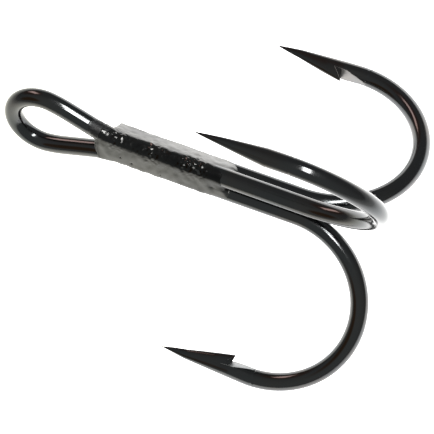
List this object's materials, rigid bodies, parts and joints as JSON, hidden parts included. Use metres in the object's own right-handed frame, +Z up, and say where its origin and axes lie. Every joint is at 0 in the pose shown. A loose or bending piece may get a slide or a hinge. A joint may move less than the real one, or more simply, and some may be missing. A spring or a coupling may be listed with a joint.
{
  "type": "treble fishing hook",
  "caption": "Treble hook: a double hook with a teardrop eye and a single hook, brazed shank to shank, with round bends and barbed points.",
  "frame": {"origin": "centre of the hook's box on the surface that it lies on", "axes": "+Z up with one hook upright, +X along the shank from the eye towards the bends"},
  "size_m": [0.0328, 0.0274, 0.0241],
  "materials": {
    "plated_wire": "bright black nickel on high-carbon steel wire",
    "plated_braze": "satin to rough, thinly plated braze alloy"
  },
  "bodies": {
    "root": {"double_hook_wire": "plated_wire", "single_hook_wire": "plated_wire", "braze": "plated_braze"}
  },
  "joints": []
}
